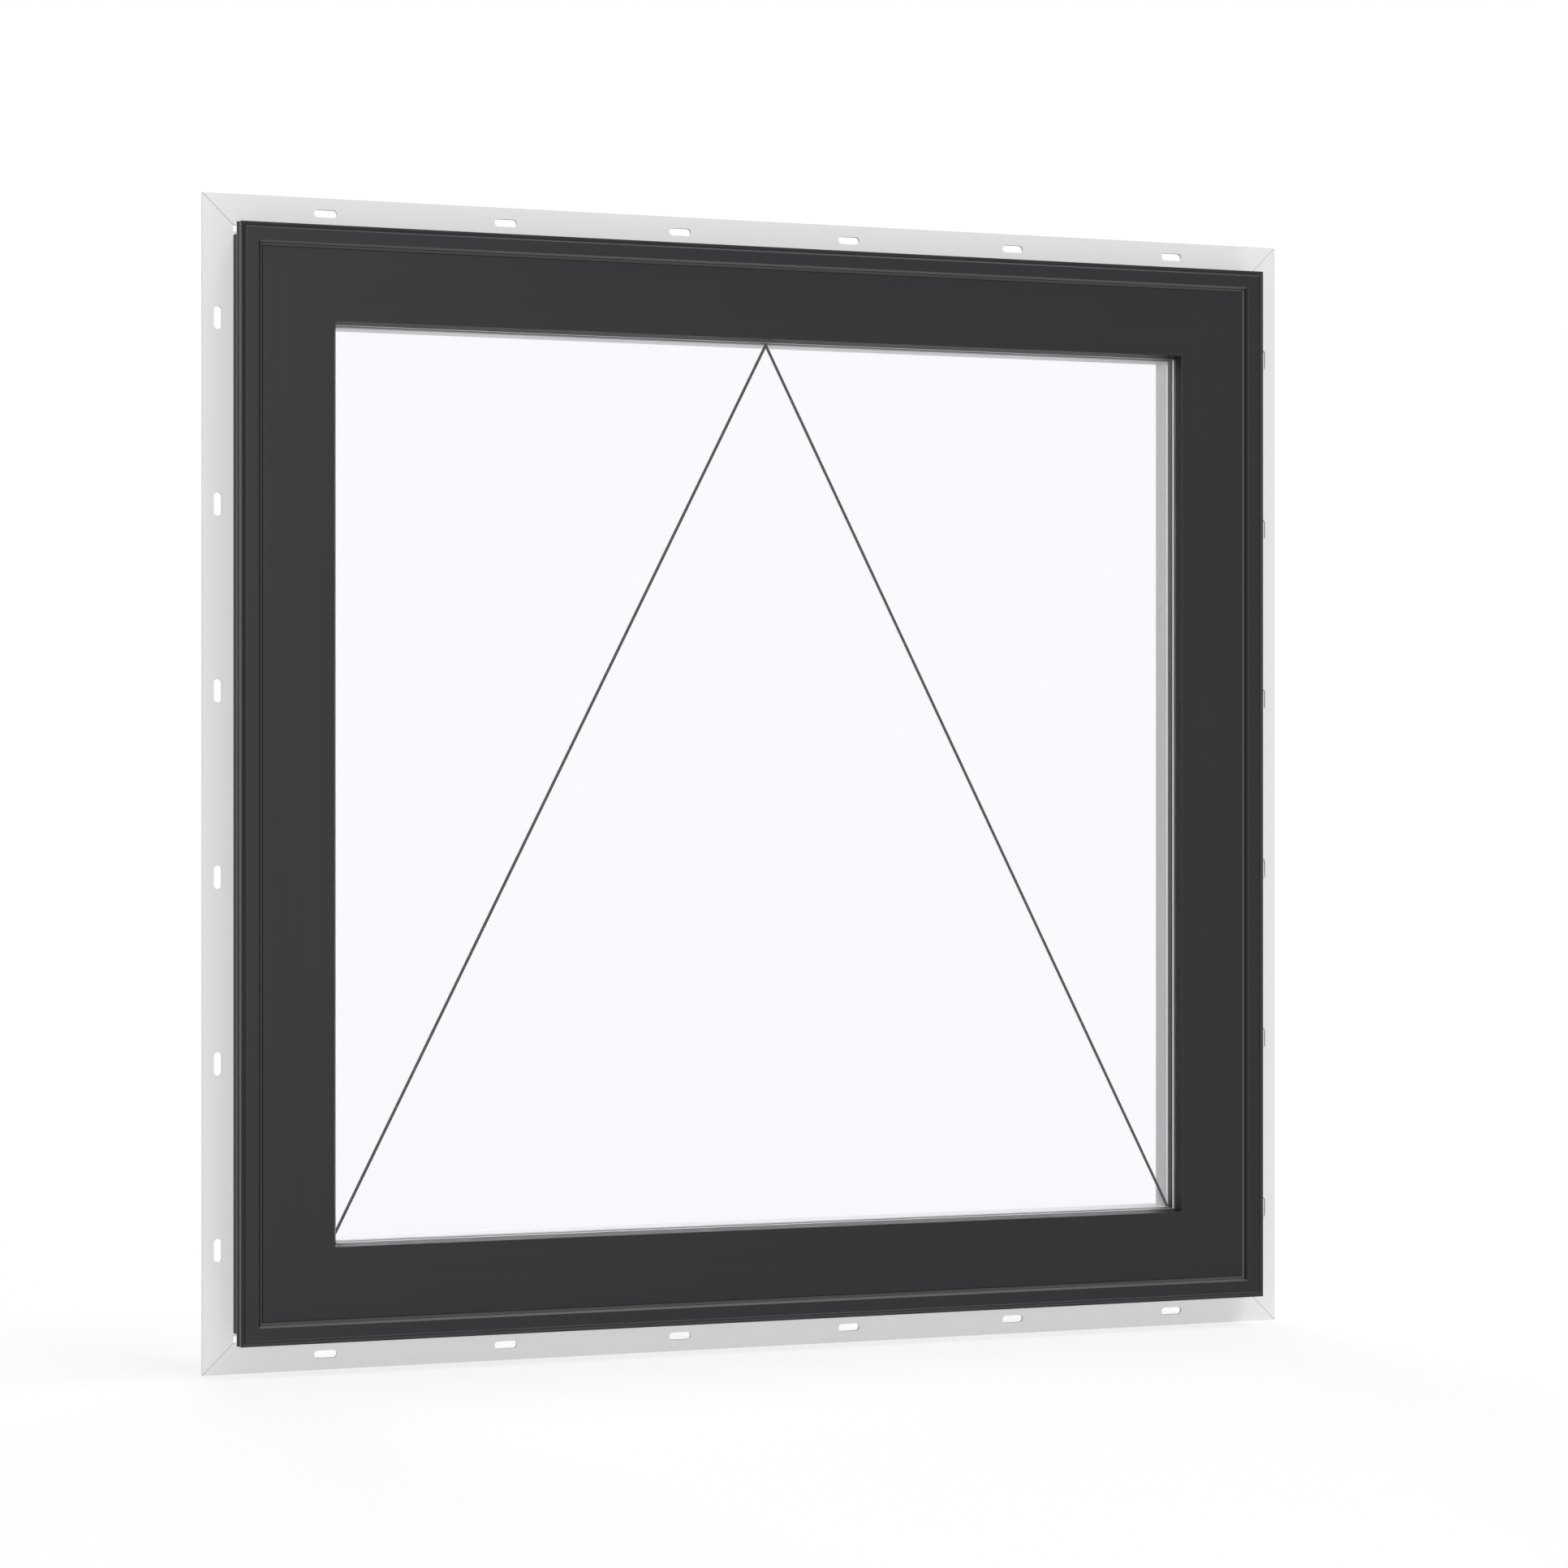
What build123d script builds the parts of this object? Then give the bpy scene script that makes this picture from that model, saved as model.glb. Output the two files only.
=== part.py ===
"""Square awning window with nailing fins, a grooved outer frame and a double-glazed, outward-opening sash.

Units are millimetres. The outside faces -Y, +X is to the right seen from outside and +Z is up. The origin is on
the back face of the sill fin, in the middle of its row of slots.
"""

import os

from build123d import *

INCH = 25.4

# Outer frame: size over its outer faces, depth, and the section of its bars
FRAME_WIDTH = 36 * INCH
FRAME_HEIGHT = 36 * INCH
FRAME_DEPTH = 3.25 * INCH
FACE_WIDTH = 14.5
LIP_INSET = 1.0
LIP_DEPTH = 11.7
FLANGE_THICKNESS = 3.3
BODY_INSET = 8.5
FOOT_INSET = 3.4
FOOT_HEIGHT = 3.0
FRAME_BEVEL_WIDTH = 1.8
FRAME_BEVEL_DEPTH = 1.8
GROOVE_OFFSET = 3.0
GROOVE_WIDTH = 3.3
GROOVE_DEPTH = 1.0
EDGE_RADIUS = 0.5

# Nailing fins: how far they stand out of the frame and ahead of them the frame's face, and their slots
FIN_REACH = 1 * INCH
FIN_THICKNESS = 3.0
FACE_PROJECTION = 31.0
FIN_TONGUE = 5.3
FIN_MITRE_GAP = 0.3
SLOT_LENGTH = 0.75 * INCH
SLOT_WIDTH = 0.25 * INCH
SLOT_PITCH = 6 * INCH
SLOT_EDGE_DISTANCE = 0.5 * INCH

# Sash: its running gap, how far it lies behind the frame's face, and the section of its bars
SASH_GAP = 2.4
SASH_RECESS = 4.2
SASH_FACE = 58.9
SASH_BEVEL_WIDTH = 2.3
SASH_BEVEL_DEPTH = 7.5
GLAZING_LIP = 1.8
SASH_JOINT_GAP = 0.2

# Insulating glass: two panes, the spacer between them and the seal they bed on
PANE_THICKNESS = 3.2
AIR_GAP = 11.1
GLASS_BITE = 14.0
GLASS_EDGE_CLEARANCE = 2.0
SEAL_THICKNESS = 3.0
SEAL_WIDTH = 9.0
SEAL_SETBACK = 0.4
SPACER_HEIGHT = 7.5
SPACER_SETBACK = 0.5
SPACER_CHAMFER = 2.0

# Inside: glazing bead, stop of the inner frame and weatherstrips
BEAD_DEPTH = 24.6
BEAD_CHAMFER = 2.0
STOP_GAP = 3.0
STOP_LAP = 22.0
STOP_CHAMFER = 2.5
INNER_EDGE_RADIUS = 1.0
STRIP_CLEARANCE = 0.3
STRIP_DEPTH = 6.0
STRIP_SLOPE = 1.2
STRIP_SET = 0.4
BULB_WIDTH = 6.0
BULB_SETBACK = 5.0

# Operator on the inner sill, with its crank folded against it
HOUSING_LENGTH = 150.0
HOUSING_HEIGHT = 25.0
HOUSING_DEPTH = 20.0
HOUSING_CORNER = 8.0
HOUSING_TAPER = 14.0
HOUSING_EDGE = 2.5
CRANK_REACH = 84.0
CRANK_HUB_RADIUS = 7.5
CRANK_TIP_RADIUS = 4.5
CRANK_THICKNESS = 6.0
CRANK_EDGE = 1.2
KNOB_RADIUS = 6.0
KNOB_LENGTH = 12.0
KNOB_EDGE = 2.5

# Locks on the inner jambs
LOCK_PLATE_LENGTH = 84.0
LOCK_PLATE_WIDTH = 20.0
LOCK_PLATE_THICKNESS = 4.0
LOCK_PLATE_EDGE = 1.2
LOCK_DROP = 150.0
LEVER_REACH = 52.0
LEVER_HUB_RADIUS = 7.0
LEVER_TIP_RADIUS = 4.5
LEVER_THICKNESS = 7.0
LEVER_EDGE = 1.5

# Depths along Y, from the outside in; the fins' back faces lie at zero
FIN_FRONT_Y = -FIN_THICKNESS
FACE_Y = FIN_FRONT_Y - FACE_PROJECTION
LIP_BACK_Y = FACE_Y + LIP_DEPTH
FLANGE_BACK_Y = LIP_BACK_Y + FLANGE_THICKNESS
INTERIOR_Y = FACE_Y + FRAME_DEPTH
SASH_FACE_Y = FACE_Y + SASH_RECESS
SASH_BEVEL_Y = SASH_FACE_Y + SASH_BEVEL_DEPTH
REBATE_Y = SASH_BEVEL_Y + GLAZING_LIP
GLASS_FRONT_Y = REBATE_Y + SEAL_THICKNESS
CAVITY_FRONT_Y = GLASS_FRONT_Y + PANE_THICKNESS
CAVITY_BACK_Y = CAVITY_FRONT_Y + AIR_GAP
GLASS_BACK_Y = CAVITY_BACK_Y + PANE_THICKNESS
SASH_BACK_Y = GLASS_BACK_Y + BEAD_DEPTH
STOP_Y = SASH_BACK_Y + STOP_GAP

# Insets from the frame's outer line towards the middle of the window
FACE_INNER = LIP_INSET + FACE_WIDTH
FRAME_OPENING = FACE_INNER + FRAME_BEVEL_WIDTH
SASH_OUTER = FRAME_OPENING + SASH_GAP
SASH_INNER = SASH_OUTER + SASH_FACE
DAYLIGHT = SASH_INNER + SASH_BEVEL_WIDTH
GLASS_EDGE = DAYLIGHT - GLASS_BITE
REBATE = GLASS_EDGE - GLASS_EDGE_CLEARANCE
STOP_INNER = SASH_OUTER + STOP_LAP
STOP_MIDDLE = (BODY_INSET + STOP_INNER) / 2

# Heights of the frame's outer lines above the sill fin's slots
SLOT_LINE = FIN_REACH - SLOT_EDGE_DISTANCE
FRAME_BOTTOM = SLOT_LINE
FRAME_MIDDLE = FRAME_BOTTOM + FRAME_HEIGHT / 2
FRAME_TOP = FRAME_BOTTOM + FRAME_HEIGHT

INWARD_DEPTH = Vector(0, 1, 0)


class Side:
    """One side of the window: its section plane and half the length of its bar.

    The section plane's x runs from the frame's outer line towards the middle of the window, its y runs from
    the outside in, and its normal runs along the bar.
    """

    def __init__(self, middle, inward, length):
        self.inward = Vector(inward)
        self.along = self.inward.cross(INWARD_DEPTH)
        self.section = Plane(origin=middle, x_dir=self.inward, z_dir=self.along)
        self.half_length = length / 2

    def face(self, depth):
        """Plane over the side's outer line at a depth, x along the bar and y out of the window, facing outside."""
        origin = self.section.origin + INWARD_DEPTH * depth
        return Plane(origin=origin, x_dir=self.along, z_dir=-INWARD_DEPTH)

    def inner_face(self, depth, inset):
        """Plane at an inset from the outer line, x along the bar and facing the inside of the building."""
        origin = self.section.origin + INWARD_DEPTH * depth + self.inward * inset
        return Plane(origin=origin, x_dir=self.along, z_dir=INWARD_DEPTH)


HEAD = Side((0, 0, FRAME_TOP), (0, 0, -1), FRAME_WIDTH)
SILL = Side((0, 0, FRAME_BOTTOM), (0, 0, 1), FRAME_WIDTH)
LEFT = Side((-FRAME_WIDTH / 2, 0, FRAME_MIDDLE), (1, 0, 0), FRAME_HEIGHT)
RIGHT = Side((FRAME_WIDTH / 2, 0, FRAME_MIDDLE), (-1, 0, 0), FRAME_HEIGHT)

JAMB_NAMES = {"head": HEAD, "sill": SILL, "left_jamb": LEFT, "right_jamb": RIGHT}
FRAME_NAMES = {"head": HEAD, "sill": SILL, "left": LEFT, "right": RIGHT}
SASH_NAMES = {"top_rail": HEAD, "bottom_rail": SILL, "left_stile": LEFT, "right_stile": RIGHT}
GLAZING_NAMES = {"top": HEAD, "bottom": SILL, "left": LEFT, "right": RIGHT}


def rectangle(inset_from, inset_to, depth_from, depth_to):
    """Filled rectangle between two insets and two depths, in the open sketch."""
    with Locations(((inset_from + inset_to) / 2, (depth_from + depth_to) / 2)):
        Rectangle(inset_to - inset_from, depth_to - depth_from)


def mitre(side):
    """Trim both ends of the bar in the open part to 45 degrees at the frame's corners."""
    for direction in (side.along, -side.along):
        corner = side.section.origin + direction * side.half_length
        split(bisect_by=Plane(origin=corner, z_dir=side.inward + direction), keep=Keep.BOTTOM)


def save(piece, node):
    """Label a finished piece and write it under its node's name."""
    piece.part.label = node
    export_step(piece.part, f"parts/{node}.step")


os.makedirs("parts", exist_ok=True)

# Nailing fins: mitred strips with a tongue behind the frame's foot, cut square short of the corners
for name, side in FRAME_NAMES.items():
    mitre_setback = FIN_MITRE_GAP / 2 * 2**0.5
    corner = side.half_length - mitre_setback
    tip = corner + FIN_REACH
    tongue_end = corner - FIN_TONGUE
    slot_count = round(2 * side.half_length / SLOT_PITCH)
    with BuildPart() as fin:
        with BuildSketch(side.face(0)):
            with BuildLine():
                Polyline(
                    (-tip, FIN_REACH),
                    (tip, FIN_REACH),
                    (corner, 0),
                    (tongue_end, 0),
                    (tongue_end, -FIN_TONGUE),
                    (-tongue_end, -FIN_TONGUE),
                    (-tongue_end, 0),
                    (-corner, 0),
                    close=True,
                )
            make_face()
            with Locations((0, SLOT_LINE)):
                with GridLocations(SLOT_PITCH, SLOT_PITCH, slot_count, 1):
                    SlotOverall(SLOT_LENGTH, SLOT_WIDTH, mode=Mode.SUBTRACT)
        extrude(amount=FIN_THICKNESS)
    save(fin, f"fin_{name}")

# Outer frame: a grooved, bevelled face with a lip, a flange round the lip, and behind it a sloped foot, coped
# at the corners, that holds the fin's tongue
for name, side in JAMB_NAMES.items():
    groove_middle = LIP_INSET + GROOVE_OFFSET
    with BuildPart() as frame_bar:
        with BuildSketch(side.section):
            with BuildLine():
                Polyline(
                    (LIP_INSET, FACE_Y),
                    (groove_middle - GROOVE_WIDTH / 2, FACE_Y),
                    (groove_middle, FACE_Y + GROOVE_DEPTH),
                    (groove_middle + GROOVE_WIDTH / 2, FACE_Y),
                    (FACE_INNER, FACE_Y),
                    (FRAME_OPENING, FACE_Y + FRAME_BEVEL_DEPTH),
                    (FRAME_OPENING, STOP_Y),
                    (BODY_INSET, STOP_Y),
                    (BODY_INSET, FLANGE_BACK_Y),
                    (0, FLANGE_BACK_Y),
                    (0, LIP_BACK_Y),
                    (LIP_INSET, LIP_BACK_Y),
                    close=True,
                )
            make_face()
            fillet(vertices().group_by(Axis.Y)[0], EDGE_RADIUS)
        extrude(amount=side.half_length, both=True)
        mitre(side)
        with BuildSketch(side.section):
            with BuildLine():
                Polyline(
                    (FOOT_INSET, FLANGE_BACK_Y),
                    (BODY_INSET, FLANGE_BACK_Y),
                    (BODY_INSET, FIN_FRONT_Y),
                    (0, FIN_FRONT_Y),
                    (0, FIN_FRONT_Y - FOOT_HEIGHT),
                    close=True,
                )
            make_face()
        extrude(amount=side.half_length - BODY_INSET, both=True)
    save(frame_bar, f"frame_{name}")

# Inner frame: the stop that the sash closes against, finishing the frame inside the building
for name, side in FRAME_NAMES.items():
    with BuildPart() as inner_bar:
        with BuildSketch(side.section):
            with BuildLine():
                Polyline(
                    (BODY_INSET, STOP_Y),
                    (STOP_INNER, STOP_Y),
                    (STOP_INNER, INTERIOR_Y - STOP_CHAMFER),
                    (STOP_INNER - STOP_CHAMFER, INTERIOR_Y),
                    (BODY_INSET, INTERIOR_Y),
                    close=True,
                )
            make_face()
            fillet(vertices().group_by(Axis.Y)[-1], INNER_EDGE_RADIUS)
        extrude(amount=side.half_length, both=True)
        mitre(side)
    save(inner_bar, f"inner_frame_{name}")

# Weatherstrips: a sloped strip on the frame beside the sash, and a bulb on the stop behind it
for name, side in FRAME_NAMES.items():
    strip_front = SASH_FACE_Y + STRIP_SET
    strip_inner = SASH_OUTER - STRIP_CLEARANCE
    bulb_outer = SASH_OUTER + BULB_SETBACK
    with BuildPart() as weatherstrip:
        with BuildSketch(side.section):
            with BuildLine():
                Polyline(
                    (FRAME_OPENING, strip_front),
                    (strip_inner, strip_front + STRIP_SLOPE),
                    (strip_inner, strip_front + STRIP_DEPTH),
                    (FRAME_OPENING, strip_front + STRIP_DEPTH),
                    close=True,
                )
            make_face()
            rectangle(bulb_outer, bulb_outer + BULB_WIDTH, SASH_BACK_Y + STRIP_CLEARANCE, STOP_Y)
            fillet(vertices().group_by(Axis.Y)[-2], (STOP_GAP - STRIP_CLEARANCE) / 2)
        extrude(amount=side.half_length, both=True)
        mitre(side)
    save(weatherstrip, f"weatherstrip_{name}")

# Sash: wide flat bars, bevelled down to the glass and rebated behind for it
for name, side in SASH_NAMES.items():
    with BuildPart() as sash_bar:
        with BuildSketch(side.section):
            with BuildLine():
                Polyline(
                    (SASH_OUTER, SASH_FACE_Y),
                    (SASH_INNER, SASH_FACE_Y),
                    (DAYLIGHT, SASH_BEVEL_Y),
                    (DAYLIGHT, REBATE_Y),
                    (REBATE, REBATE_Y),
                    (REBATE, GLASS_BACK_Y),
                    (SASH_OUTER, GLASS_BACK_Y),
                    close=True,
                )
            make_face()
            fillet(vertices().group_by(Axis.Y)[0], EDGE_RADIUS)
        extrude(amount=side.half_length, both=True)
        mitre(side)
    save(sash_bar, f"sash_{name}")

# Inner sash bars and the glazing beads that hold the glass in from the inside
for name, side in GLAZING_NAMES.items():
    with BuildPart() as inner_sash:
        with BuildSketch(side.section):
            rectangle(SASH_OUTER, REBATE - SASH_JOINT_GAP, GLASS_BACK_Y, SASH_BACK_Y)
            fillet(vertices().group_by(Axis.Y)[-1], INNER_EDGE_RADIUS)
        extrude(amount=side.half_length, both=True)
        mitre(side)
    save(inner_sash, f"sash_inner_{name}")

    with BuildPart() as bead:
        with BuildSketch(side.section):
            with BuildLine():
                Polyline(
                    (REBATE, GLASS_BACK_Y),
                    (DAYLIGHT, GLASS_BACK_Y),
                    (DAYLIGHT, SASH_BACK_Y - BEAD_CHAMFER),
                    (DAYLIGHT - BEAD_CHAMFER, SASH_BACK_Y),
                    (REBATE, SASH_BACK_Y),
                    close=True,
                )
            make_face()
        extrude(amount=side.half_length, both=True)
        mitre(side)
    save(bead, f"bead_{name}")

# Glazing seals between the sash and the outer pane, and the spacer bars between the panes
for name, side in GLAZING_NAMES.items():
    with BuildPart() as seal:
        with BuildSketch(side.section):
            seal_inner = DAYLIGHT - SEAL_SETBACK
            rectangle(seal_inner - SEAL_WIDTH, seal_inner, REBATE_Y, GLASS_FRONT_Y)
        extrude(amount=side.half_length, both=True)
        mitre(side)
    save(seal, f"glazing_seal_{name}")

    with BuildPart() as spacer:
        with BuildSketch(side.section):
            spacer_inner = DAYLIGHT - SPACER_SETBACK
            rectangle(spacer_inner - SPACER_HEIGHT, spacer_inner, CAVITY_FRONT_Y, CAVITY_BACK_Y)
            chamfer(vertices().group_by(Axis.X)[0], SPACER_CHAMFER)
        extrude(amount=side.half_length, both=True)
        mitre(side)
    save(spacer, f"spacer_{name}")

# Panes of the insulating glass
for name, pane_front in {"outer": GLASS_FRONT_Y, "inner": CAVITY_BACK_Y}.items():
    with BuildPart() as pane:
        with BuildSketch(Plane(origin=(0, pane_front, FRAME_MIDDLE), x_dir=(1, 0, 0), z_dir=INWARD_DEPTH)):
            Rectangle(FRAME_WIDTH - 2 * GLASS_EDGE, FRAME_HEIGHT - 2 * GLASS_EDGE)
        extrude(amount=PANE_THICKNESS)
    save(pane, f"pane_{name}")

# Operator housing in the middle of the inner sill, tapered towards the room
operator_plane = SILL.inner_face(INTERIOR_Y, STOP_MIDDLE)
with BuildPart() as housing:
    with BuildSketch(operator_plane):
        RectangleRounded(HOUSING_LENGTH, HOUSING_HEIGHT, HOUSING_CORNER)
    extrude(amount=HOUSING_DEPTH, taper=HOUSING_TAPER)
    chamfer(housing.faces().sort_by(Axis.Y)[-1].edges(), HOUSING_EDGE)
save(housing, "operator_housing")

# Crank handle, folded along the housing: hub, tapering arm and knob in one casting
crank_plane = operator_plane.offset(HOUSING_DEPTH)
with BuildPart() as crank:
    with BuildSketch(crank_plane):
        with Locations((-CRANK_REACH / 2, 0)):
            Circle(CRANK_HUB_RADIUS)
        with Locations((CRANK_REACH / 2, 0)):
            Circle(CRANK_TIP_RADIUS)
        make_hull()
    extrude(amount=CRANK_THICKNESS)
    chamfer(crank.faces().sort_by(Axis.Y)[-1].edges(), CRANK_EDGE)
    with BuildSketch(crank_plane.offset(CRANK_THICKNESS / 2)):
        with Locations((CRANK_REACH / 2, 0)):
            Circle(KNOB_RADIUS)
    extrude(amount=KNOB_LENGTH)
    chamfer(crank.faces().sort_by(Axis.Y)[-1].edges(), KNOB_EDGE)
save(crank, "crank_handle")

# Sash locks below mid-height on the inner jambs, each a plate with a lever that hangs down when locked
for name, side in {"left": LEFT, "right": RIGHT}.items():
    jamb_face = side.inner_face(INTERIOR_Y, STOP_MIDDLE)
    lock_origin = jamb_face.origin - Vector(0, 0, LOCK_DROP)
    lock_plane = Plane(origin=lock_origin, x_dir=(0, 0, 1), z_dir=INWARD_DEPTH)
    with BuildPart() as lock_plate:
        with BuildSketch(lock_plane):
            SlotOverall(LOCK_PLATE_LENGTH, LOCK_PLATE_WIDTH)
        extrude(amount=LOCK_PLATE_THICKNESS)
        chamfer(lock_plate.faces().sort_by(Axis.Y)[-1].edges(), LOCK_PLATE_EDGE)
    save(lock_plate, f"lock_plate_{name}")

    with BuildPart() as lever:
        with BuildSketch(lock_plane.offset(LOCK_PLATE_THICKNESS)):
            with Locations((LEVER_REACH / 2, 0)):
                Circle(LEVER_HUB_RADIUS)
            with Locations((-LEVER_REACH / 2, 0)):
                Circle(LEVER_TIP_RADIUS)
            make_hull()
        extrude(amount=LEVER_THICKNESS)
        chamfer(lever.faces().sort_by(Axis.Y)[-1].edges(), LEVER_EDGE)
    save(lever, f"lock_lever_{name}")
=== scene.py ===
"""Awning window: finishes, lock screws, the opening mark on the glass, studio light and camera.

Lengths are metres in the frame of the solids: the outside faces -Y, +X is to the right seen from outside,
+Z is up, and the origin is on the back face of the sill fin.
"""

import logging
import math
from abc import ABC, abstractmethod
from dataclasses import dataclass, replace
from enum import Enum

import bpy
import numpy as np
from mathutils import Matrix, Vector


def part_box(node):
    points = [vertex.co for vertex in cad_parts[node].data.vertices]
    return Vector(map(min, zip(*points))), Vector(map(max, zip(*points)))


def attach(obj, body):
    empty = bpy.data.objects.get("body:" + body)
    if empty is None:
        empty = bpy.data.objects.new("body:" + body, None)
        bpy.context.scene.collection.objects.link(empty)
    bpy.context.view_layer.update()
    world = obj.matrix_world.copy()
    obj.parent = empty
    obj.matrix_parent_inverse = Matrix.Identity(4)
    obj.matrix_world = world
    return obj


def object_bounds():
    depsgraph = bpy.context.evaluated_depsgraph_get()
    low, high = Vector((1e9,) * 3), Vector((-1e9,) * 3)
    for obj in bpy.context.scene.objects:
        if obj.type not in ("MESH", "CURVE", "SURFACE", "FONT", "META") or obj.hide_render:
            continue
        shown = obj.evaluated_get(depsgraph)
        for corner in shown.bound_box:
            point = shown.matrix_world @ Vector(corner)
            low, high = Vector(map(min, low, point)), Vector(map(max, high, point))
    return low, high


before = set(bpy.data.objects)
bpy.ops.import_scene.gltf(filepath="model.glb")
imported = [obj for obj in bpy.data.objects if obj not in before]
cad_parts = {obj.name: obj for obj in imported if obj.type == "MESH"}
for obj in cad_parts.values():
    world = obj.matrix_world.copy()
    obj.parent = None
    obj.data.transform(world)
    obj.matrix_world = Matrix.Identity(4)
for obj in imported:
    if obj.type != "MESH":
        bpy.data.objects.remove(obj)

CAD_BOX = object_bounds()
BODY = "root"
MM = 0.001

Colour = tuple[float, float, float]
Socket = bpy.types.NodeSocket

log = logging.getLogger("awning_window")


class Slot(Enum):
    """Material slots of the window's record; no piece here is given one."""

    SEAL = "seal_rubber"
    HARDWARE = "hardware_white"


class Run(Enum):
    """Direction that a bar runs in, as the share of each axis' detail that its drawn-out grain keeps."""

    LEVEL = (0.02, 1.0, 1.0)
    UPRIGHT = (1.0, 1.0, 0.02)
    ROUND = (1.0, 1.0, 1.0)


class Sides(Enum):
    """Names of the four bars of one surround, each with the direction that it runs in."""

    FRAME = {"head": Run.LEVEL, "sill": Run.LEVEL, "left": Run.UPRIGHT, "right": Run.UPRIGHT}
    JAMBS = {"head": Run.LEVEL, "sill": Run.LEVEL, "left_jamb": Run.UPRIGHT, "right_jamb": Run.UPRIGHT}
    STILES = {
        "top_rail": Run.LEVEL,
        "bottom_rail": Run.LEVEL,
        "left_stile": Run.UPRIGHT,
        "right_stile": Run.UPRIGHT,
    }
    GLAZING = {"top": Run.LEVEL, "bottom": Run.LEVEL, "left": Run.UPRIGHT, "right": Run.UPRIGHT}


class Nodes:
    """Adds and links the nodes of one material, whose patterns have a few octaves of ever finer clouds."""

    octaves: float = 2.0

    def __init__(self, name: str) -> None:
        """Start a material that holds a shader, its output and the piece's own coordinates.

        Args:
            name: The material's name.
        """
        self.material = bpy.data.materials.new(name)
        self.material.use_nodes = True
        self.tree = self.material.node_tree
        self.shader = self.tree.nodes["Principled BSDF"]
        self.coordinates = self.add("ShaderNodeTexCoord").outputs["Object"]

    def add(self, kind: str) -> bpy.types.Node:
        """Add one node of the kind that Blender calls by this name."""
        return self.tree.nodes.new(kind)

    def link(self, source: Socket, target: Socket) -> None:
        """Join an output to an input."""
        self.tree.links.new(source, target)

    def set(self, **values: float) -> None:
        """Set numbers on the shader's own sockets, named with underscores for spaces."""
        for name, value in values.items():
            self.shader.inputs[name.replace("_", " ")].default_value = value

    def noise(self, size: float, run: Run = Run.ROUND) -> Socket:
        """Cloudy pattern from 0 to 1 on the piece's own coordinates, drawn out along the bar's run.

        Args:
            size: Width of one cloud in metres.
            run: Direction in which the clouds are drawn out.

        Returns:
            The pattern's output.
        """
        mapping = self.add("ShaderNodeMapping")
        mapping.inputs["Scale"].default_value = run.value
        self.link(self.coordinates, mapping.inputs["Vector"])
        texture = self.add("ShaderNodeTexNoise")
        texture.inputs["Scale"].default_value = 1 / size
        texture.inputs["Detail"].default_value = self.octaves
        self.link(mapping.outputs["Vector"], texture.inputs["Vector"])
        return texture.outputs["Fac"]

    def tint(self, pattern: Socket, low: Colour, high: Colour) -> None:
        """Colour the surface between two colours by a pattern.

        Args:
            pattern: Output from 0 to 1.
            low: Linear colour where the pattern is 0.
            high: Linear colour where the pattern is 1.
        """
        ramp = self.add("ShaderNodeValToRGB")
        ramp.color_ramp.elements[0].color = (*low, 1)
        ramp.color_ramp.elements[1].color = (*high, 1)
        self.link(pattern, ramp.inputs["Fac"])
        self.link(ramp.outputs["Color"], self.shader.inputs["Base Color"])

    def beyond(self, limits: tuple[float, float]) -> Socket:
        """Output that is 0 between two limits of depth, and 1 beyond them.

        Args:
            limits: Lowest and highest Y of the stretch between.

        Returns:
            The output, from the distance to the stretch's middle.
        """
        split = self.add("ShaderNodeSeparateXYZ")
        self.link(self.coordinates, split.inputs["Vector"])
        test = self.add("ShaderNodeMath")
        test.operation = "COMPARE"
        test.inputs[1].default_value = sum(limits) / 2
        test.inputs[2].default_value = (limits[1] - limits[0]) / 2
        self.link(split.outputs["Y"], test.inputs[0])
        return self.inverted(test.outputs["Value"])

    def inverted(self, pattern: Socket) -> Socket:
        """Turn a pattern round.

        Args:
            pattern: Output from 0 to 1.

        Returns:
            Output that is 1 where the pattern is 0, and 0 where it is 1.
        """
        turned = self.add("ShaderNodeMath")
        turned.operation = "SUBTRACT"
        turned.inputs[0].default_value = 1
        self.link(pattern, turned.inputs[1])
        return turned.outputs["Value"]

    def cover(self, mask: Socket, colour: Colour) -> None:
        """Lay one colour over the surface's own where a mask is 1.

        Args:
            mask: Output from 0 to 1.
            colour: Linear colour of the cover.
        """
        mix = self.add("ShaderNodeMixRGB")
        base = self.shader.inputs["Base Color"]
        under = base.links[0].from_socket
        mix.inputs["Color2"].default_value = (*colour, 1)
        self.link(mask, mix.inputs["Fac"])
        self.link(under, mix.inputs["Color1"])
        self.link(mix.outputs["Color"], base)

    def glow(self, pattern: Socket, colour: Colour) -> None:
        """Add a colour of the surface's own where a pattern is 1, without lighting anything else.

        Args:
            pattern: Output from 0 to 1.
            colour: Linear colour that is added.
        """
        self.shader.inputs["Emission Color"].default_value = (*colour, 1)
        self.link(pattern, self.shader.inputs["Emission Strength"])
        self.material.cycles.emission_sampling = "NONE"

    def roughen(self, pattern: Socket, low: float, high: float) -> None:
        """Vary the surface's roughness between two values by a pattern.

        Args:
            pattern: Output from 0 to 1.
            low: Roughness where the pattern is 0.
            high: Roughness where the pattern is 1.
        """
        spread = self.add("ShaderNodeMapRange")
        spread.inputs["To Min"].default_value = low
        spread.inputs["To Max"].default_value = high
        self.link(pattern, spread.inputs["Value"])
        self.link(spread.outputs["Result"], self.shader.inputs["Roughness"])

    def emboss(self, pattern: Socket, height: float) -> None:
        """Raise the surface by a pattern.

        Args:
            pattern: Output from 0 to 1.
            height: Height in metres where the pattern is 1.
        """
        bump = self.add("ShaderNodeBump")
        bump.inputs["Distance"].default_value = height
        self.link(pattern, bump.inputs["Height"])
        self.link(bump.outputs["Normal"], self.shader.inputs["Normal"])


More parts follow.
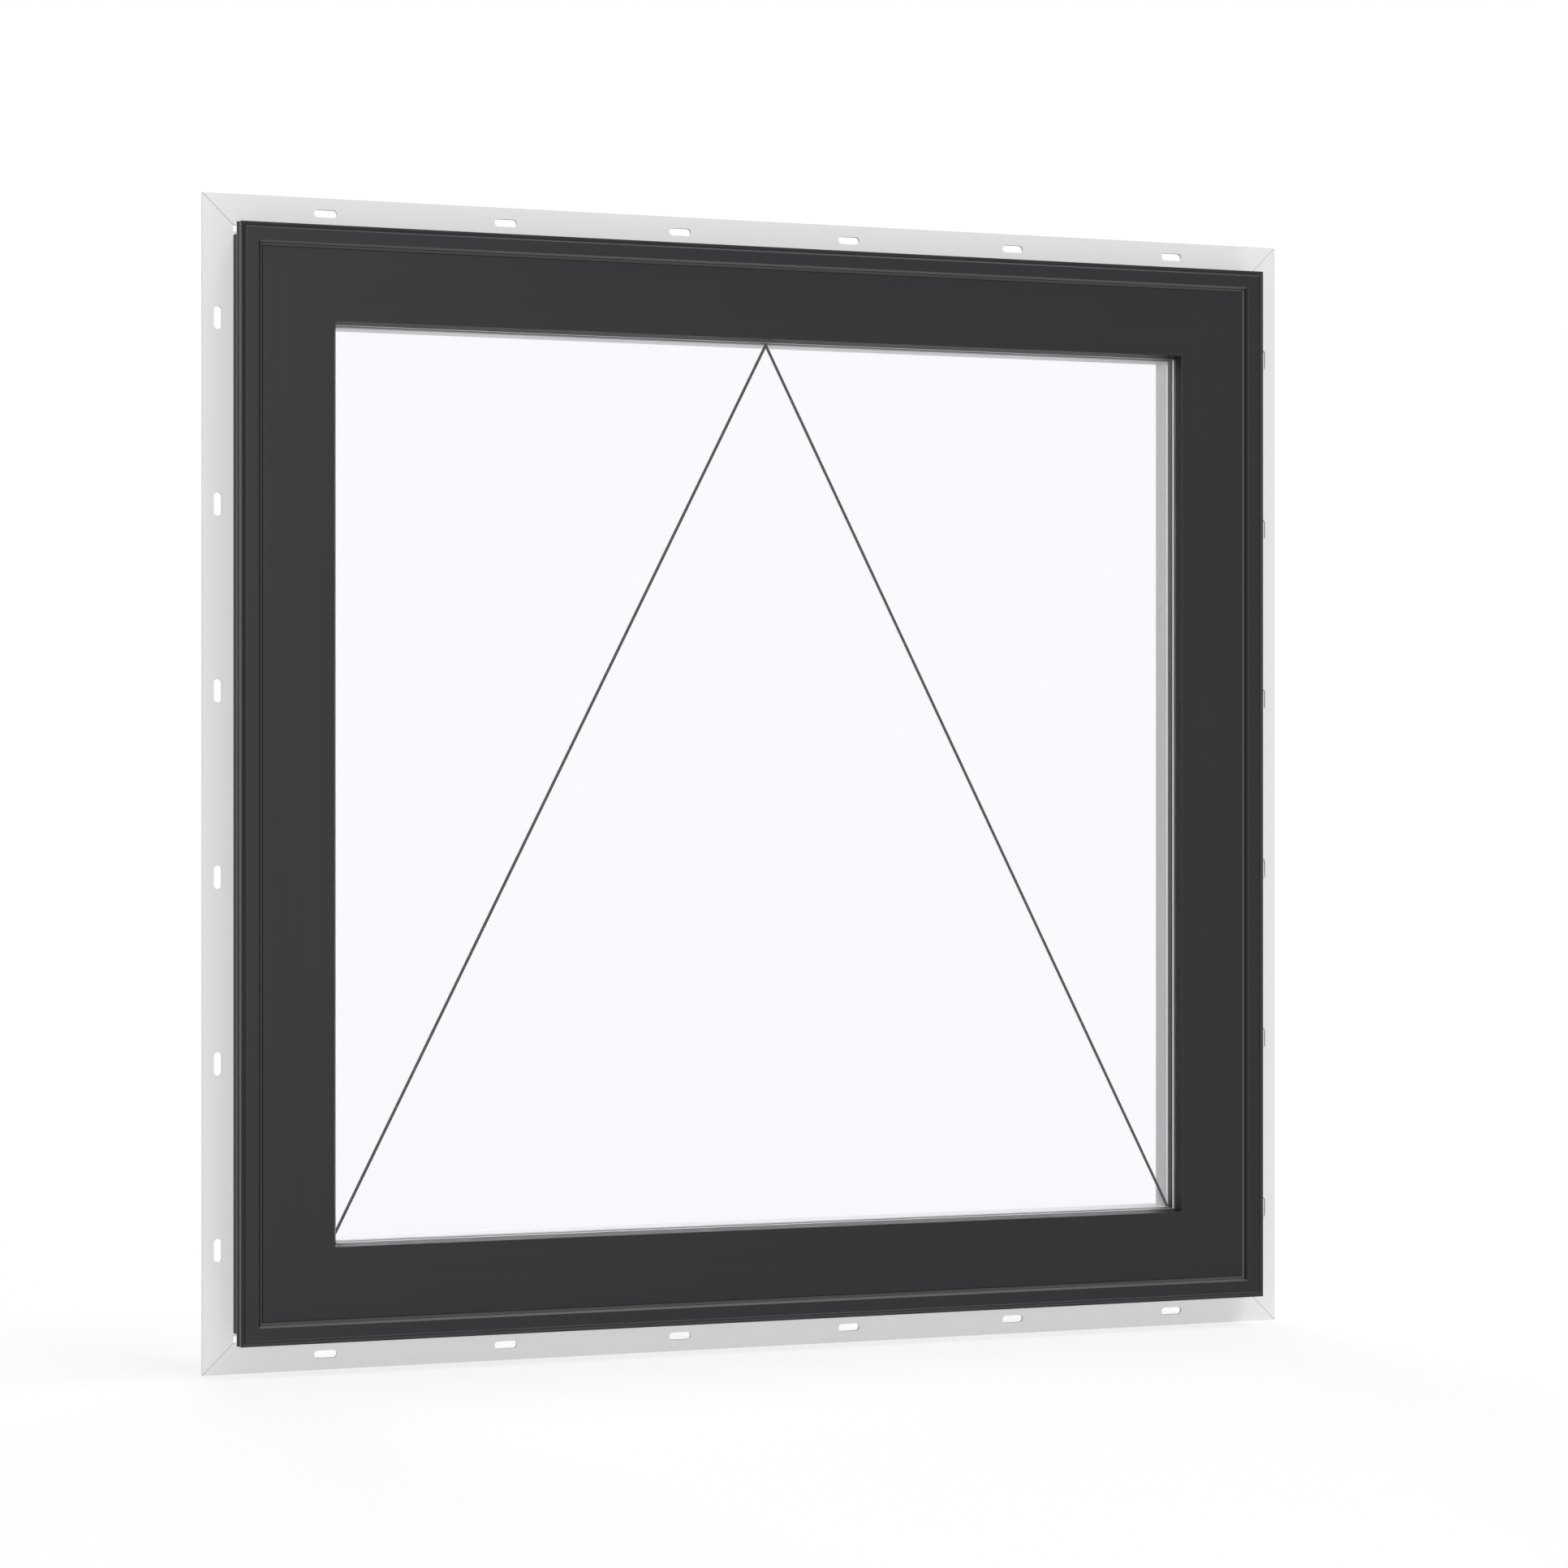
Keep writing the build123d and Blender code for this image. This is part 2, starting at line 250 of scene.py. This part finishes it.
def seen_rays(tree: bpy.types.NodeTree) -> Socket:
    """Tell the rays that the eye follows from those that only carry light.

    Args:
        tree: Node tree of a material or of the surround.

    Returns:
        Output that is 1 for rays from the camera, a gloss or glass, and 0 for the rest.
    """
    path = tree.nodes.new("ShaderNodeLightPath")
    total = path.outputs["Is Camera Ray"]
    for name in ("Is Glossy Ray", "Is Transmission Ray"):
        most = tree.nodes.new("ShaderNodeMath")
        most.operation = "MAXIMUM"
        tree.links.new(total, most.inputs[0])
        tree.links.new(path.outputs[name], most.inputs[1])
        total = most.outputs["Value"]
    return total


class Finish(ABC):
    """One finish of the window, made as a material for each direction that its pieces run in."""

    name: str

    def material(self, run: Run) -> bpy.types.Material:
        """Give the finish for pieces of one run, made the first time it is asked for.

        Args:
            run: Direction that the piece runs in.

        Returns:
            The finish as a material.
        """
        key = f"{self.name}_{run.name.lower()}"
        made = bpy.data.materials.get(key)
        if made is not None:
            return made
        nodes = Nodes(key)
        self.paint(nodes, run)
        return nodes.material

    @abstractmethod
    def paint(self, nodes: Nodes, run: Run) -> None:
        """Lay out the finish's nodes.

        Args:
            nodes: Nodes of the material.
            run: Direction that the piece runs in.
        """


@dataclass(frozen=True)
class SatinCoating(Finish):
    """Charcoal coating outside: satin, with faint clouds of gloss and the orange peel of a baked film."""

    name: str = "charcoal_coating"
    low: Colour = (0.0106, 0.0114, 0.0126)
    high: Colour = (0.0124, 0.0133, 0.0146)
    cloud: float = 90 * MM
    smooth: float = 0.30
    rough: float = 0.40
    patch: float = 14 * MM
    peel: float = 2.5 * MM
    peel_height: float = 0.012 * MM
    shine: float = 0.25

    def paint(self, nodes: Nodes, run: Run) -> None:
        """Lay out clouds of colour, patches of gloss and the orange peel.

        Args:
            nodes: Nodes of the material.
            run: Direction that the piece runs in.
        """
        nodes.tint(nodes.noise(self.cloud), self.low, self.high)
        nodes.roughen(nodes.noise(self.patch, run), self.smooth, self.rough)
        nodes.emboss(nodes.noise(self.peel), self.peel_height)
        nodes.set(Specular_IOR_Level=self.shine)


@dataclass(frozen=True)
class ExtrudedVinyl(Finish):
    """Drawn vinyl: matt to satin, with faint streaks and die lines along the bar."""

    name: str
    low: Colour
    high: Colour
    smooth: float = 0.40
    rough: float = 0.52
    streak: float = 4 * MM
    die_line: float = 1.2 * MM
    die_line_height: float = 0.01 * MM
    shine: float = 0.3

    def paint(self, nodes: Nodes, run: Run) -> None:
        """Lay out streaks of colour and gloss and the die lines.

        Args:
            nodes: Nodes of the material.
            run: Direction that the piece runs in.
        """
        streaks = nodes.noise(self.streak, run)
        nodes.tint(streaks, self.low, self.high)
        nodes.roughen(streaks, self.smooth, self.rough)
        nodes.emboss(nodes.noise(self.die_line, run), self.die_line_height)
        nodes.set(Specular_IOR_Level=self.shine)


@dataclass(frozen=True)
class ClearGlass(Finish):
    """Clear float glass with a cool cast and a barely wavy face."""

    name: str = "clear_glass"
    low: Colour = (0.970, 0.9755, 0.9895)
    high: Colour = (0.974, 0.9775, 0.9925)
    cloud: float = 250 * MM
    smooth: float = 0.0
    rough: float = 0.02
    wave: float = 120 * MM
    wave_height: float = 0.01 * MM
    index: float = 1.5
    shine: float = 0.1

    def paint(self, nodes: Nodes, run: Run) -> None:
        """Lay out the cast, a trace of haze and the slow waves of the sheet.

        Args:
            nodes: Nodes of the material.
            run: Direction that the piece runs in, which this finish doesn't follow.
        """
        haze = nodes.noise(self.cloud)
        nodes.tint(haze, self.low, self.high)
        nodes.roughen(haze, self.smooth, self.rough)
        nodes.emboss(nodes.noise(self.wave), self.wave_height)
        nodes.set(Transmission_Weight=1.0, IOR=self.index, Specular_IOR_Level=self.shine)


@dataclass(frozen=True)
class SpacerMetal(Finish):
    """Dark satin spacer bar, finely brushed along its run, with a pale band next to each pane: sealant, and
    at the outer pane also a painted highlight that stands for the spacer's lit front edge.
    """

    name: str = "spacer_metal"
    low: Colour = (0.014, 0.014, 0.017)
    high: Colour = (0.020, 0.020, 0.024)
    # Pale sealant colour, made bright enough to paint the highlight of the spacer's lit front edge too.
    sealant_and_highlight: Colour = (0.86, 0.86, 0.88)
    # Width of the pale band at the outer pane: sealant, widened to paint that highlight.
    outer_sealant_and_highlight: float = 1.6 * MM
    inner_sealant: float = 0.2 * MM
    brush: float = 0.8 * MM
    brush_height: float = 0.004 * MM
    smooth: float = 0.42
    rough: float = 0.52
    shine: float = 0.15

    def paint(self, nodes: Nodes, run: Run) -> None:
        """Lay out the brushing in colour, gloss and height, and the pale sealant next to the panes, which at
        the outer pane also paints a highlight.

        Args:
            nodes: Nodes of the material.
            run: Direction that the piece runs in.
        """
        brushing = nodes.noise(self.brush, run)
        nodes.tint(brushing, self.low, self.high)
        nodes.roughen(brushing, self.smooth, self.rough)
        nodes.emboss(brushing, self.brush_height)
        nodes.set(Specular_IOR_Level=self.shine)
        outer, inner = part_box("pane_outer")[1].y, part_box("pane_inner")[0].y
        bare = (outer + self.outer_sealant_and_highlight, inner - self.inner_sealant)
        # The pale band is sealant at both panes; its colour and its width at the outer pane also paint the
        # highlight of the spacer's lit front edge.
        nodes.cover(nodes.beyond(bare), self.sealant_and_highlight)


@dataclass(frozen=True)
class SealRubber(Finish):
    """Dark rubber of the seals and weatherstrips: dull and finely grained."""

    name: str
    low: Colour
    high: Colour
    cloud: float = 6 * MM
    grain: float = 0.7 * MM
    grain_height: float = 0.02 * MM
    smooth: float = 0.62
    rough: float = 0.80
    shine: float = 0.3

    def paint(self, nodes: Nodes, run: Run) -> None:
        """Lay out the bloom along the strip and the grain.

        Args:
            nodes: Nodes of the material.
            run: Direction that the piece runs in.
        """
        bloom = nodes.noise(self.cloud, run)
        nodes.tint(bloom, self.low, self.high)
        nodes.roughen(bloom, self.smooth, self.rough)
        nodes.emboss(nodes.noise(self.grain), self.grain_height)
        nodes.set(Specular_IOR_Level=self.shine)


@dataclass(frozen=True)
class HardwareEnamel(Finish):
    """White enamel on the die-cast hardware: smooth, with a soft orange peel."""

    name: str = "hardware_enamel"
    low: Colour = (0.76, 0.76, 0.75)
    high: Colour = (0.81, 0.81, 0.80)
    cloud: float = 18 * MM
    peel: float = 1.6 * MM
    peel_height: float = 0.02 * MM
    smooth: float = 0.26
    rough: float = 0.36

    def paint(self, nodes: Nodes, run: Run) -> None:
        """Lay out clouds of colour and gloss and the orange peel.

        Args:
            nodes: Nodes of the material.
            run: Direction that the piece runs in, which this finish doesn't follow.
        """
        clouds = nodes.noise(self.cloud)
        nodes.tint(clouds, self.low, self.high)
        nodes.roughen(clouds, self.smooth, self.rough)
        nodes.emboss(nodes.noise(self.peel), self.peel_height)


@dataclass(frozen=True)
class MarkInk(Finish):
    """Black ink of the opening mark: dull, a little uneven in its cover."""

    name: str = "mark_ink"
    low: Colour = (0.004, 0.004, 0.004)
    high: Colour = (0.010, 0.010, 0.010)
    blot: float = 3 * MM
    grain: float = 0.5 * MM
    grain_height: float = 0.01 * MM
    smooth: float = 0.55
    rough: float = 0.75
    shine: float = 0.1

    def paint(self, nodes: Nodes, run: Run) -> None:
        """Lay out the uneven cover and its grain.

        Args:
            nodes: Nodes of the material.
            run: Direction that the piece runs in, which this finish doesn't follow.
        """
        cover = nodes.noise(self.blot)
        nodes.tint(cover, self.low, self.high)
        nodes.roughen(cover, self.smooth, self.rough)
        nodes.emboss(nodes.noise(self.grain), self.grain_height)
        nodes.set(Specular_IOR_Level=self.shine)


@dataclass(frozen=True)
class FloorPaint(Finish):
    """Dull paint of the studio's floor: grey for the light that it throws back, white where it is seen."""

    name: str = "floor_paint"
    bounce: Colour = (0.52, 0.52, 0.52)
    seen: Colour = (0.22, 0.22, 0.22)
    rough: float = 1.0
    shine: float = 0.0

    def paint(self, nodes: Nodes, run: Run) -> None:
        """Lay out the two tones, and the glow that makes up what the seen one lacks of white.

        Args:
            nodes: Nodes of the material.
            run: Direction that the piece runs in, which this finish doesn't follow.
        """
        rays = seen_rays(nodes.tree)
        nodes.tint(rays, self.bounce, self.seen)
        nodes.glow(rays, tuple(1 - share for share in self.seen))
        nodes.set(Roughness=self.rough, Specular_IOR_Level=self.shine)


COATING = SatinCoating()
WHITE_VINYL = ExtrudedVinyl("white_vinyl", (0.710, 0.710, 0.718), (0.744, 0.744, 0.752))
FIN_VINYL = ExtrudedVinyl("fin_vinyl", (0.692, 0.692, 0.692), (0.716, 0.716, 0.716))
GLASS = ClearGlass()
SPACER = SpacerMetal()
STRIP_RUBBER = SealRubber("strip_rubber", (0.058, 0.058, 0.060), (0.075, 0.075, 0.077))
GLAZING_RUBBER = SealRubber("glazing_rubber", (0.095, 0.095, 0.097), (0.115, 0.115, 0.117))
ENAMEL = HardwareEnamel()
INK = MarkInk()
FLOOR_PAINT = FloorPaint()


def ring_quads(rings: int, sectors: int, start: int = 0) -> np.ndarray:
    """Quads between neighbouring rings of points, each ring closed on itself.

    Point s of ring r has the index start + r * sectors + s, and a quad joins s and s + 1 of ring r to the
    same two of ring r + 1.

    Args:
        rings: Number of rings.
        sectors: Number of points in each ring.
        start: Index of the first ring's first point.

    Returns:
        Point indices, one row of four for each quad.
    """
    ring = np.arange(rings - 1)[:, None] * sectors
    here = np.arange(sectors)[None, :]
    after = (here + 1) % sectors
    corners = (ring + here, ring + after, ring + sectors + after, ring + sectors + here)
    return np.stack(corners, axis=-1).reshape(-1, 4) + start


def add_piece(name: str, points: np.ndarray, faces: list[list[int]], finish: Finish) -> None:
    """Make a finished piece that rides on the window.

    Args:
        name: The piece's name.
        points: Its points, one row of X, Y and Z each.
        faces: Point indices of each face, anticlockwise seen from outside.
        finish: Its finish.
    """
    mesh = bpy.data.meshes.new(name)
    mesh.from_pydata(points, [], faces)
    mesh.materials.append(finish.material(Run.ROUND))
    mesh.validate()
    piece = bpy.data.objects.new(name, mesh)
    bpy.context.scene.collection.objects.link(piece)
    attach(piece, BODY)
    log.info("made %s with %d faces", name, len(faces))


def dress_node(name: str, finish: Finish, run: Run = Run.ROUND) -> None:
    """Give a solid of the frame its finish.

    Args:
        name: The solid's node.
        finish: The finish.
        run: Direction that the solid runs in.
    """
    for material_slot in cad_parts[name].material_slots:
        material_slot.material = finish.material(run)
    log.info("dressed %s in %s", name, finish.name)


def dress_bars(stem: str, sides: Sides, finish: Finish) -> None:
    """Give the four bars of a surround their finish, each along its own run.

    Args:
        stem: First part of the bars' node names.
        sides: Names and runs of the four bars.
        finish: The finish.
    """
    for side, run in sides.value.items():
        dress_node(f"{stem}_{side}", finish, run)


@dataclass
class OuterFrame:
    """Nailing fins, the charcoal frame, its white inner half and its weatherstrips."""

    fin_finish: Finish = FIN_VINYL
    face_finish: Finish = COATING
    inner_finish: Finish = WHITE_VINYL
    strip_finish: Finish = STRIP_RUBBER

    def dress(self) -> None:
        """Finish the frame's bars."""
        dress_bars("fin", Sides.FRAME, self.fin_finish)
        dress_bars("frame", Sides.JAMBS, self.face_finish)
        dress_bars("inner_frame", Sides.FRAME, self.inner_finish)
        dress_bars("weatherstrip", Sides.FRAME, self.strip_finish)


@dataclass
class Sash:
    """The top-hung sash: charcoal bars outside, white bars and glazing beads inside."""

    face_finish: Finish = COATING
    inner_finish: Finish = WHITE_VINYL

    def dress(self) -> None:
        """Finish the sash's bars and beads."""
        dress_bars("sash", Sides.STILES, self.face_finish)
        dress_bars("sash_inner", Sides.GLAZING, self.inner_finish)
        dress_bars("bead", Sides.GLAZING, self.inner_finish)


@dataclass
class Glazing:
    """The insulating glass: two panes, the spacer bars between them and the seals they bed on."""

    pane_finish: Finish = GLASS
    spacer_finish: Finish = SPACER
    seal_finish: Finish = GLAZING_RUBBER

    def dress(self) -> None:
        """Finish the glass, which lamps shine through, its spacer bars and its seals."""
        for name in ("pane_outer", "pane_inner"):
            dress_node(name, self.pane_finish)
            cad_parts[name].visible_shadow = False
            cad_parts[name].visible_diffuse = False
        dress_bars("spacer", Sides.GLAZING, self.spacer_finish)
        dress_bars("glazing_seal", Sides.GLAZING, self.seal_finish)


@dataclass
class OpeningMark:
    """Thin inverted V on the inner pane, which shows that the sash is hung at its top."""

    width: float = 2.55 * MM
    thickness: float = 0.15 * MM
    profile_points: int = 9
    finish: Finish = INK

    def path(self) -> np.ndarray:
        """Give the mark's three corners on the inner pane's outer face.

        Returns:
            The left foot, the tip and the right foot, one row of X, Y and Z each.
        """
        left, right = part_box("bead_left")[1].x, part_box("bead_right")[0].x
        bottom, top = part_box("bead_bottom")[1].z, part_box("bead_top")[0].z
        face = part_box("pane_inner")[0].y
        return np.array([(left, face, bottom), ((left + right) / 2, face, top), (right, face, bottom)])

    def build(self) -> None:
        """Carry the line's section along its path.

        The section is half an ellipse, flat on the glass. At each corner of the path it lies in the mitre
        between the two legs: with a and b the legs' side directions, the mitre is (a + b) / (1 + a.b).
        """
        path = self.path()
        legs = np.diff(path, axis=0)
        legs /= np.linalg.norm(legs, axis=1, keepdims=True)
        outward = np.array((0.0, -1.0, 0.0))
        side = np.cross(outward, legs)
        before, after = side[[0, 0, 1]], side[[0, 1, 1]]
        mitre = (before + after) / (1 + np.sum(before * after, axis=1, keepdims=True))
        angle = np.linspace(0, np.pi, self.profile_points)
        across = self.width / 2 * np.cos(angle)
        raised = self.thickness * np.sin(angle)
        points = path[:, None] + across[None, :, None] * mitre[:, None] + raised[None, :, None] * outward
        quads = ring_quads(len(path), self.profile_points).tolist()
        first_end = np.arange(self.profile_points)[::-1].tolist()
        last_end = (np.arange(self.profile_points) + (len(path) - 1) * self.profile_points).tolist()
        faces = [*quads, first_end, last_end]
        add_piece("opening_mark", points.reshape(-1, 3), faces, self.finish)


@dataclass
class Hardware:
    """Operator, crank and locks inside, with the screws that hold the lock plates."""

    head_radius: float = 2.8 * MM
    head_height: float = 1.1 * MM
    recess_depth: float = 0.8 * MM
    recess_reach: float = 1.7 * MM
    recess_width: float = 0.9 * MM
    recess_slope: float = 0.25 * MM
    recess_fall: float = 1.6
    end_distance: float = 5.5 * MM
    turn_step: float = 0.6
    rings: int = 24
    sectors: int = 64
    finish: Finish = ENAMEL

    def dress(self) -> None:
        """Finish the castings."""
        for name in ("operator_housing", "crank_handle"):
            dress_node(name, self.finish)
        for side in ("left", "right"):
            dress_node(f"lock_plate_{side}", self.finish)
            dress_node(f"lock_lever_{side}", self.finish)

    def recess(self, along: np.ndarray, across: np.ndarray) -> np.ndarray:
        """Depth of one arm of the cross recess, sloping in from its edges and shallower towards its ends.

        Args:
            along: Distance from the screw's middle along the arm.
            across: Distance from the arm's middle line.

        Returns:
            The depth at each point.
        """
        end = np.clip((self.recess_reach - np.abs(along)) / self.recess_reach, 0, 1)
        edge = np.clip((self.recess_width / 2 - np.abs(across)) / self.recess_slope, 0, 1)
        return self.recess_depth * edge * np.minimum(1, self.recess_fall * end)

    def screw(self, middle: np.ndarray, turn: float) -> np.ndarray:
        """Points of one screw head that stands on a plate and faces the room.

        Radius and height follow a superellipse in the angle q, radius R sqrt(sin q) and height H cos q, less
        the deeper of the recess' two crossed arms. The first point is the middle of the head, and the last is
        the middle of its seat.

        Args:
            middle: Middle of the head's seat.
            turn: Angle in radians that the recess is turned by.

        Returns:
            The points, one row of X, Y and Z each.
        """
        q = np.linspace(0, np.pi / 2, self.rings + 1)[1:, None]
        a = np.linspace(0, 2 * np.pi, self.sectors, endpoint=False)[None, :]
        radius = self.head_radius * np.sqrt(np.sin(q))
        along, across = radius * np.cos(a - turn), radius * np.sin(a - turn)
        cross = np.maximum(self.recess(along, across), self.recess(across, along))
        height = np.maximum(self.head_height * np.cos(q) - cross, 0)
        rings = np.stack((radius * np.cos(a), height, radius * np.sin(a)), axis=-1).reshape(-1, 3)
        top = (0, self.head_height - self.recess_depth, 0)
        return middle + np.vstack((top, rings, (0, 0, 0)))

    def screw_faces(self, start: int) -> list[list[int]]:
        """Faces of one screw head: a fan round its middle, quads between its rings and a fan under its seat.

        Args:
            start: Index of the head's first point.

        Returns:
            Point indices of each face.
        """
        here = np.arange(self.sectors)
        after = (here + 1) % self.sectors
        rim = start + 1 + (self.rings - 1) * self.sectors
        last = np.full(self.sectors, start + 1 + self.rings * self.sectors)
        top = np.stack((np.full(self.sectors, start), start + 1 + after, start + 1 + here), axis=-1)
        seat = np.stack((last, rim + here, rim + after), axis=-1)
        return [*top.tolist(), *ring_quads(self.rings, self.sectors, start + 1).tolist(), *seat.tolist()]

    def build(self) -> None:
        """Set two screws in each lock plate, near its ends."""
        for side in ("left", "right"):
            low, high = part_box(f"lock_plate_{side}")
            across = (low.x + high.x) / 2
            heights = (low.z + self.end_distance, high.z - self.end_distance)
            heads = [
                self.screw(np.array((across, high.y, height)), number * self.turn_step)
                for number, height in enumerate(heights)
            ]
            faces = [
                face
                for number in range(len(heads))
                for face in self.screw_faces(number * len(heads[0]))
            ]
            add_piece(f"lock_screws_{side}", np.vstack(heads), faces, self.finish)


@dataclass(frozen=True)
class Lamp:
    """One broad, distant lamp.

    Its level is a share of the light that makes a white face look white. Its angles are degrees: the height
    above the horizon, the turn from straight in front of the window towards the right, and the width that it
    fills in the sky.
    """

    name: str
    level: float
    elevation: float
    turn: float
    spread: float

    def rise(self) -> float:
        """Sine of the lamp's elevation, which is the share of its light that a floor takes."""
        return math.sin(math.radians(self.elevation))

    def hang(self) -> bpy.types.Object:
        """Hang the lamp.

        Returns:
            The lamp as an object of the scene.
        """
        light = bpy.data.lights.new(self.name, "SUN")
        light.energy = self.level * math.pi
        light.angle = math.radians(self.spread)
        hung = bpy.data.objects.new(self.name, light)
        hung.rotation_euler = (math.pi / 2 - math.radians(self.elevation), 0, math.radians(self.turn))
        bpy.context.scene.collection.objects.link(hung)
        log.info("hung the %s lamp", self.name)
        return hung


@dataclass
class Studio:
    """White floor and surround, soft lamps, and the camera outside the window, to its left.

    The view's angles are degrees.
    """

    floor_reach: float = 30.0
    floor_finish: Finish = FLOOR_PAINT
    surround: float = 0.25
    surround_colour: Colour = (1.0, 1.0, 1.0)
    lamps: tuple[Lamp, ...] = (
        Lamp("key", level=0.65, elevation=6, turn=-14, spread=10),
        Lamp("room", level=0.25, elevation=28, turn=180, spread=24),
        Lamp("rim", level=0.25, elevation=39, turn=156, spread=50),
        Lamp("fill", level=0.09, elevation=50, turn=27.5, spread=20),
    )
    lower: Lamp = Lamp("lower", level=0.25, elevation=-70, turn=63, spread=24)
    view_angle: float = 25.0
    view_turn: float = 18.31
    stand_off: float = 2.889
    step_left: float = 0.938

    def lay_floor(self) -> bpy.types.Object:
        """Lay the floor under the window, where it keeps a light shadow.

        It is a level grid of two points each way, at the height of the window's lowest point.

        Returns:
            The floor.
        """
        middle = (CAD_BOX[0] + CAD_BOX[1]) / 2
        span = np.linspace(-self.floor_reach, self.floor_reach, 2)
        x, y = np.meshgrid(middle.x + span, middle.y + span)
        points = np.stack((x, y, np.full_like(x, CAD_BOX[0].z)), axis=-1).reshape(-1, 3)
        mesh = bpy.data.meshes.new("floor")
        mesh.from_pydata(points, [], [(0, 1, 3, 2)])
        mesh.materials.append(self.floor_finish.material(Run.ROUND))
        floor = bpy.data.objects.new("floor", mesh)
        bpy.context.scene.collection.objects.link(floor)
        log.info("laid the floor")
        return floor

    def light_surround(self) -> None:
        """Light the window from all round, with a surround that looks white."""
        world = bpy.data.worlds.new("surround")
        world.use_nodes = True
        tree = world.node_tree
        background = tree.nodes["Background"]
        background.inputs["Color"].default_value = (*self.surround_colour, 1)
        level = tree.nodes.new("ShaderNodeMapRange")
        level.inputs["To Min"].default_value = self.surround
        tree.links.new(seen_rays(tree), level.inputs["Value"])
        tree.links.new(level.outputs["Result"], background.inputs["Strength"])
        bpy.context.scene.world = world

    def upper(self) -> Lamp:
        """Panel above the window, which makes the white floor as bright as the surround looks.

        The surround's level and each lamp's level times its rise add up to 1 on the floor.

        Returns:
            The panel, the lower one's mirror image.
        """
        lit = self.surround + sum(lamp.level * lamp.rise() for lamp in self.lamps)
        mirrored = replace(self.lower, name="upper", elevation=-self.lower.elevation)
        return replace(mirrored, level=(1 - lit) / mirrored.rise())

    def light_window(self, floor: bpy.types.Object) -> None:
        """Hang the lamps round the window.

        The key hangs by the camera, one lamp in the room, the rim behind and the fill on the right. One of
        the two panels hangs above the window, and one below it, under the floor, which lets its light pass.

        Args:
            floor: The floor.
        """
        for lamp in (*self.lamps, self.upper()):
            lamp.hang()
        lower = self.lower.hang()
        lower.data.cycles.use_multiple_importance_sampling = False
        clear = bpy.data.collections.new("clear_of_lower")
        clear.objects.link(floor)
        clear.collection_objects[0].light_linking.link_state = "EXCLUDE"
        lower.light_linking.blocker_collection = clear

    def set_camera(self) -> None:
        """Stand the camera outside the window, level with its middle."""
        lens = bpy.data.cameras.new("camera")
        lens.angle = math.radians(self.view_angle)
        camera = bpy.data.objects.new("camera", lens)
        height = (CAD_BOX[0].z + CAD_BOX[1].z) / 2
        camera.location = (-self.step_left, -self.stand_off, height)
        camera.rotation_euler = (math.pi / 2, 0, -math.radians(self.view_turn))
        bpy.context.scene.collection.objects.link(camera)
        bpy.context.scene.camera = camera

    def build(self) -> None:
        """Set up the floor, the light and the camera."""
        bpy.context.scene.view_settings.view_transform = "Standard"
        floor = self.lay_floor()
        self.light_surround()
        self.light_window(floor)
        self.set_camera()


def main() -> None:
    """Build and dress the window, light it and set up the camera."""
    logging.basicConfig(level=logging.INFO)
    OuterFrame().dress()
    Sash().dress()
    Glazing().dress()
    OpeningMark().build()
    hardware = Hardware()
    hardware.dress()
    hardware.build()
    Studio().build()


if __name__ == "__main__":
    main()
